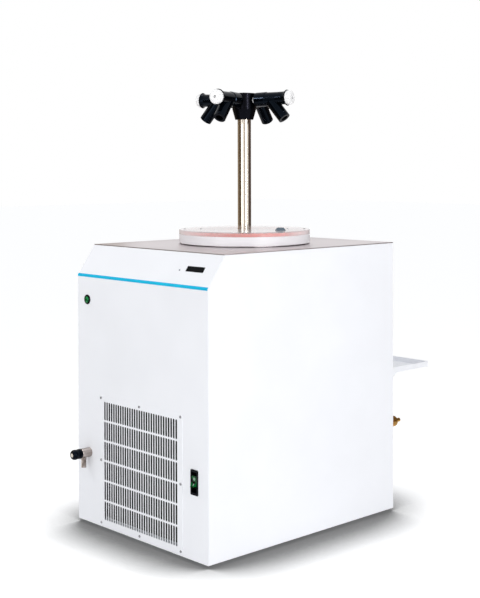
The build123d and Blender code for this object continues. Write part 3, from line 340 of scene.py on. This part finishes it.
CAMERA_FROM_AXIS = Vector((2.2048, -2.0780, 0.912))
CAMERA_TURN = (-0.847, 0.134, 46.910)     # degrees: pitch, roll and azimuth
FOCAL_MM, SENSOR_MM = 70.06, 36.0
RISE = -0.1957           # the picture's middle lies this far below the level line of sight


VIEW_REACH = 100         # metres the camera sees


def camera():
    lens = bpy.data.cameras.new("camera")
    lens.lens, lens.sensor_width, lens.shift_y = FOCAL_MM, SENSOR_MM, RISE
    lens.clip_end = VIEW_REACH
    made = bpy.data.objects.new("camera", lens)
    made.location = TUBE_AXIS + CAMERA_FROM_AXIS
    pitch, roll, azimuth = (radians(angle) for angle in CAMERA_TURN)
    made.rotation_euler = Euler((pi / 2 + pitch, roll, azimuth), "XYZ")
    bpy.context.scene.collection.objects.link(made)
    bpy.context.scene.camera = made


# Lighting levels, where 1.0 renders a pure white surface as white.
WORLD_LEVEL = 0.55
SUN_LEVEL = 0.22
SUN_SPREAD = 24                       # degrees
SUN_FROM = Vector((-0.05, 0.15, 2.3))
SKY_TINT = (0.985, 1.0, 1.02, 1)      # the light from above is slightly cool


def white_world():
    """White to the eye, in metal and through glass; a plain soft level for lighting."""
    world = bpy.data.worlds.new("white_studio")
    bpy.context.scene.world = world
    world.use_nodes = True
    tree = world.node_tree
    tree.nodes.clear()
    rays = add_node(tree, "ShaderNodeLightPath").outputs
    mirrored = add_node(tree, "ShaderNodeMath",
                        {0: rays["Is Glossy Ray"], 1: rays["Is Transmission Ray"]},
                        operation="MAXIMUM")
    seen = add_node(tree, "ShaderNodeMath",
                    {0: rays["Is Camera Ray"], 1: mirrored.outputs[0]}, operation="MAXIMUM")
    level = add_node(tree, "ShaderNodeMapRange",
                     {VALUE: seen.outputs[0], TO_LOW: WORLD_LEVEL, TO_HIGH: 1.0})
    cool = add_node(tree, "ShaderNodeMix",
                    {SHARE: seen.outputs[0], COLOUR_A: SKY_TINT, COLOUR_B: WHITE},
                    data_type="RGBA")
    light = add_node(tree, "ShaderNodeBackground",
                     {"Color": cool.outputs[COLOUR_OUT], "Strength": level.outputs[0]})
    add_node(tree, "ShaderNodeOutputWorld", {"Surface": light.outputs[0]})


FLOOR_HALF = 20                       # metres
FLOOR_TONE = "#F0F0F0"
FLOOR_LIFT = 0.32                     # glow that only the camera sees
# The camera sees the floor's colour darkened towards the object: a painted contact shadow over the
# lamps' real shadow.
PAINTED_SHADE_REACH = 0.24                  # metres over which the floor darkens towards the object
# How open the floor is where its painted shadow is darkest and where it ends, and the darkest
# share.
PAINTED_SHADE_CLOSED, PAINTED_SHADE_OPEN, PAINTED_SHADE_DARKEST = 0.6, 0.93, 0.2


def floor():
    """White floor that shows the object's shadow from the lamps, and also a painted shadow in its
    colour, seen by the camera and darker where the object stands close to it; metal and glass see
    it as plain white."""
    mesh = bpy.data.meshes.new("floor")
    corners = [(-FLOOR_HALF, -FLOOR_HALF, 0), (FLOOR_HALF, -FLOOR_HALF, 0),
               (FLOOR_HALF, FLOOR_HALF, 0), (-FLOOR_HALF, FLOOR_HALF, 0)]
    mesh.from_pydata(corners, [], [(0, 1, 2, 3)])
    made = bpy.data.objects.new("floor", mesh)
    bpy.context.scene.collection.objects.link(made)
    material = new_material("studio_floor")
    tree = material.node_tree
    rays = add_node(tree, "ShaderNodeLightPath").outputs
    # Ambient occlusion paints shade into the floor's colour near the object, for camera rays only.
    contact = add_node(tree, "ShaderNodeAmbientOcclusion", {"Distance": PAINTED_SHADE_REACH})
    painted_shade_share = add_node(tree, "ShaderNodeMapRange",
                          {VALUE: contact.outputs["AO"], FROM_LOW: PAINTED_SHADE_CLOSED,
                           FROM_HIGH: PAINTED_SHADE_OPEN, TO_LOW: PAINTED_SHADE_DARKEST, TO_HIGH: 1.0})
    share = add_node(tree, "ShaderNodeMix",
                     {SHARE: rays["Is Camera Ray"], NUMBER_A: 1.0,
                      NUMBER_B: painted_shade_share.outputs[0]}).outputs[NUMBER_OUT]
    tint = add_node(tree, "ShaderNodeMix",
                    {SHARE: share, COLOUR_A: BLACK, COLOUR_B: hex_colour(FLOOR_TONE)},
                    data_type="RGBA")
    lift = add_node(tree, "ShaderNodeMath", {0: rays["Is Camera Ray"], 1: FLOOR_LIFT},
                    operation="MULTIPLY")
    glow_level = add_node(tree, "ShaderNodeMath", {0: lift.outputs[0], 1: share},
                          operation="MULTIPLY")
    matt = add_node(tree, "ShaderNodeBsdfDiffuse", {"Color": tint.outputs[COLOUR_OUT]})
    glow = add_node(tree, "ShaderNodeEmission",
                    {"Color": WHITE, "Strength": glow_level.outputs[0]})
    lit = add_node(tree, "ShaderNodeAddShader", {0: matt.outputs[0], 1: glow.outputs[0]})
    plain = add_node(tree, "ShaderNodeEmission", {"Color": WHITE, "Strength": 1.0})
    mirrored = add_node(tree, "ShaderNodeMath",
                        {0: rays["Is Glossy Ray"], 1: rays["Is Transmission Ray"]},
                        operation="MAXIMUM")
    surface = add_node(tree, "ShaderNodeMixShader",
                       {0: mirrored.outputs[0], 1: lit.outputs[0], 2: plain.outputs[0]})
    add_node(tree, "ShaderNodeOutputMaterial", {"Surface": surface.outputs[0]})
    mesh.materials.append(material)


def around(bearing, distance, height):
    """Point round the manifold's tube; bearing is in degrees from +X towards +Y."""
    turn = radians(bearing)
    return TUBE_AXIS + Vector((distance * cos(turn), distance * sin(turn), height))


def hang(name, lamp, place, target):
    """Lamp at this place, turned to face the target."""
    made = bpy.data.objects.new(name, lamp)
    made.location = place
    made.rotation_euler = (target - place).to_track_quat("-Z", "Y").to_euler()
    bpy.context.scene.collection.objects.link(made)


def softbox(name, bearing, distance, height, width, tall, radiance):
    """Upright lamp of even brightness that faces the manifold's axis."""
    lamp = bpy.data.lights.new(name, "AREA")
    lamp.shape, lamp.size, lamp.size_y = "RECTANGLE", width, tall
    lamp.energy = radiance * pi * width * tall
    hang(name, lamp, around(bearing, distance, height), around(bearing, 0, height))


def sun():
    """Broad light from almost straight above, which keeps the shadow close round the object."""
    lamp = bpy.data.lights.new("overhead_sun", "SUN")
    lamp.energy, lamp.angle = SUN_LEVEL * pi, radians(SUN_SPREAD)
    hang("overhead_sun", lamp, SUN_FROM, Vector((0, 0, 0)))


CARD_STEPS = 12


def dark_card(name, bearings, distance, heights, code):
    """Curved card that only mirrors see, so that bright metal has dark bands to show."""
    points = []
    for i in range(CARD_STEPS + 1):
        bearing = bearings[0] + (bearings[1] - bearings[0]) * i / CARD_STEPS
        points += [around(bearing, distance, z) for z in heights]
    faces = [(2 * i, 2 * i + 2, 2 * i + 3, 2 * i + 1) for i in range(CARD_STEPS)]
    mesh = bpy.data.meshes.new(name)
    mesh.from_pydata(points, [], faces)
    made = bpy.data.objects.new(name, mesh)
    bpy.context.scene.collection.objects.link(made)
    material = new_material(name)
    tree = material.node_tree
    tone = add_node(tree, "ShaderNodeEmission", {"Color": hex_colour(code), "Strength": 1.0})
    add_node(tree, "ShaderNodeOutputMaterial", {"Surface": tone.outputs[0]})
    mesh.materials.append(material)
    made.visible_camera = made.visible_diffuse = made.visible_shadow = False
    made.visible_transmission = made.visible_volume_scatter = False


# name: bearing in degrees, then distance, height, width and tallness in metres, and radiance
SOFTBOXES = {
    "right_strip": (-11, 2.6, 0.95, 0.22, 1.2, 27.0),
    "right_softbox": (15, 2.8, 0.7, 1.4, 1.4, 0.3),
    "left_softbox": (-80, 2.8, 0.75, 1.8, 1.5, 1.5),
    "left_strip": (-106, 1.8, 1.6, 0.08, 0.5, 48.0),
}
# name: bearings of its ends in degrees, distance and heights in metres, and colour
DARK_CARDS = {
    "right_card": ((27, 118), 1.9, (0.02, 1.6), "#5F5048"),
    "left_card": ((211, 262), 1.9, (0.02, 1.6), "#6A5A48"),
    "far_left_card": ((152, 210), 1.9, (0.02, 1.6), "#A0907A"),
    "near_card": ((-47, -37), 1.7, (0.6, 1.5), "#C0AC98"),
}

dress_nodes()
nozzle_knurling()
rocker_marks()
camera()
white_world()
floor()
sun()
for lamp_name, placing in SOFTBOXES.items():
    softbox(lamp_name, *placing)
for card_name, placing in DARK_CARDS.items():
    dark_card(card_name, *placing)

bpy.context.scene.view_settings.view_transform = "Standard"
